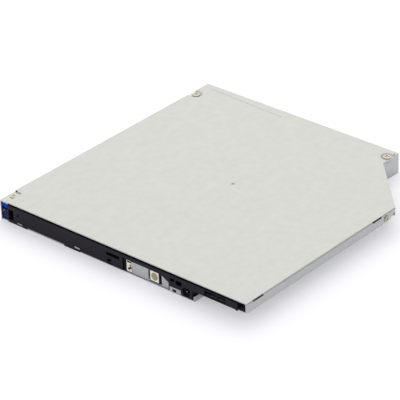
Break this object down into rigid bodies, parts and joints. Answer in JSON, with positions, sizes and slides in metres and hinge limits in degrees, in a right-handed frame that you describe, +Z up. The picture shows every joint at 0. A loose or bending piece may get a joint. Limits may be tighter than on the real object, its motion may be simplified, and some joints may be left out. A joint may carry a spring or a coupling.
{
  "type": "slim internal disc writer",
  "caption": "Flat sheet-steel drive with a thin wing and cut corner; its moulded tray slides out of the open front on side rails with spindle, pickup and eject switch.",
  "frame": {"origin": "middle of the underside of the drive's bounding box", "axes": "+X to the wing's side, +Y to the rear with the connector, +Z up through the cover"},
  "size_m": [0.128, 0.1262, 0.009],
  "materials": {
    "zinc_steel": "zinc-plated sheet, satin",
    "rail_steel": "bright drawn steel",
    "nickel_screw": "nickel plated",
    "black_tray": "moulded, fine satin texture",
    "blue_moulding": "moulded",
    "grey_moulding": "moulded",
    "cream_moulding": "moulded",
    "olive_button": "moulded",
    "board_green": "solder mask",
    "navy_moulding": "moulded",
    "chip_black": "moulded package",
    "gold_contact": "gold plated",
    "flex_amber": "polyimide film",
    "dark_sheet": "black coated sheet",
    "bearing_brass": "sintered",
    "copper_coil": "enamelled wire",
    "magnet_grey": "coated magnet",
    "rubber_black": "soft rubber",
    "cast_zinc": "die cast, as cast",
    "lens_glass": "coated lens"
  },
  "bodies": {
    "case": {"bottom_case": "zinc_steel", "top_cover": "zinc_steel", "cover_screws": "nickel_screw", "left_rail_guide": "grey_moulding", "right_rail_guide": "grey_moulding", "corner_stop": "blue_moulding", "main_board": "board_green", "board_posts": "rail_steel", "board_screws": "nickel_screw", "board_chips": "chip_black", "drive_connector": "chip_black", "connector_contacts": "gold_contact", "case_flex": "flex_amber", "kick_out_housing": "grey_moulding"},
    "left_rail": {"left_slide_rail": "rail_steel"},
    "right_rail": {"right_slide_rail": "rail_steel"},
    "tray": {"tray": "black_tray", "tray_end_cap": "navy_moulding", "tray_bottom_cover": "zinc_steel", "switch_board": "board_green", "switch_shield": "zinc_steel", "switch_body": "cream_moulding", "front_led": "cream_moulding", "traverse_chassis": "cast_zinc", "traverse_cover": "dark_sheet", "dampers": "rubber_black", "damper_screws": "nickel_screw", "spindle_base": "rail_steel", "spindle_bearing": "bearing_brass", "stator_core": "rail_steel", "stator_coils": "copper_coil", "guide_rod_left": "rail_steel", "guide_rod_right": "rail_steel", "rod_clips": "grey_moulding", "feed_motor": "rail_steel", "feed_bracket": "zinc_steel", "lever_pin": "rail_steel", "eject_solenoid": "copper_coil", "tray_flex": "flex_amber"},
    "button": {"eject_button": "olive_button"},
    "spindle": {"rotor_bell": "rail_steel", "rotor_magnet": "magnet_grey", "spindle_shaft": "rail_steel", "turntable": "black_tray", "turntable_ring": "rubber_black"},
    "feed_screw": {"lead_screw": "rail_steel"},
    "pickup": {"pickup_carriage": "cast_zinc", "pickup_cover": "zinc_steel", "lens_yoke": "rail_steel", "screw_follower": "cream_moulding"},
    "lens": {"lens_holder": "chip_black", "objective_lens": "lens_glass"},
    "lever": {"lock_lever": "grey_moulding"},
    "plunger": {"solenoid_plunger": "rail_steel"},
    "pusher": {"kick_out_pusher": "cream_moulding"}
  },
  "joints": [
    {"name": "tray_slide", "type": "slide", "parent": "case", "child": "tray", "axis": [0, -1, 0], "range_m": [0, 0.125]},
    {"name": "left_rail_slide", "type": "slide", "parent": "case", "child": "left_rail", "axis": [0, -1, 0], "range_m": [0, 0.0625]},
    {"name": "right_rail_slide", "type": "slide", "parent": "case", "child": "right_rail", "axis": [0, -1, 0], "range_m": [0, 0.0625]},
    {"name": "kick_out_slide", "type": "slide", "parent": "case", "child": "pusher", "axis": [0, -1, 0], "range_m": [0, 0.008]},
    {"name": "eject_button_press", "type": "slide", "parent": "tray", "child": "button", "axis": [0, 1, 0], "range_m": [0, 0.00025], "stiffness_N_per_m": 6400},
    {"name": "spindle_spin", "type": "hinge", "parent": "tray", "child": "spindle", "pos_m": [0.0014, 0.00255, 0.005], "axis": [0, 0, 1], "continuous": true},
    {"name": "pickup_feed", "type": "slide", "parent": "tray", "child": "pickup", "axis": [-0.7071, -0.7071, 0], "range_m": [0, 0.036]},
    {"name": "feed_screw_turn", "type": "hinge", "parent": "tray", "child": "feed_screw", "pos_m": [-0.00694, -0.03153, 0.0032], "axis": [-0.7071, -0.7071, 0], "range_deg": [0, 4320]},
    {"name": "lens_focus", "type": "slide", "parent": "pickup", "child": "lens", "axis": [0, 0, 1], "range_m": [-0.0004, 0.0004], "stiffness_N_per_m": 60},
    {"name": "solenoid_plunger_slide", "type": "slide", "parent": "tray", "child": "plunger", "axis": [-1, 0, 0], "range_m": [0, 0.0004]},
    {"name": "lock_lever_turn", "type": "hinge", "parent": "tray", "child": "lever", "pos_m": [0.0316, -0.04805, 0.0021], "axis": [0, 0, 1], "range_deg": [0, 5]}
  ],
  "couplings": [
    {"joint": "left_rail_slide", "follows": "tray_slide", "ratio": 0.5},
    {"joint": "right_rail_slide", "follows": "tray_slide", "ratio": 0.5},
    {"joint": "kick_out_slide", "follows": "tray_slide", "ratio": 0.064},
    {"joint": "feed_screw_turn", "follows": "pickup_feed", "rad_per_m": 2094.4},
    {"joint": "lock_lever_turn", "follows": "solenoid_plunger_slide", "rad_per_m": 217.39}
  ]
}
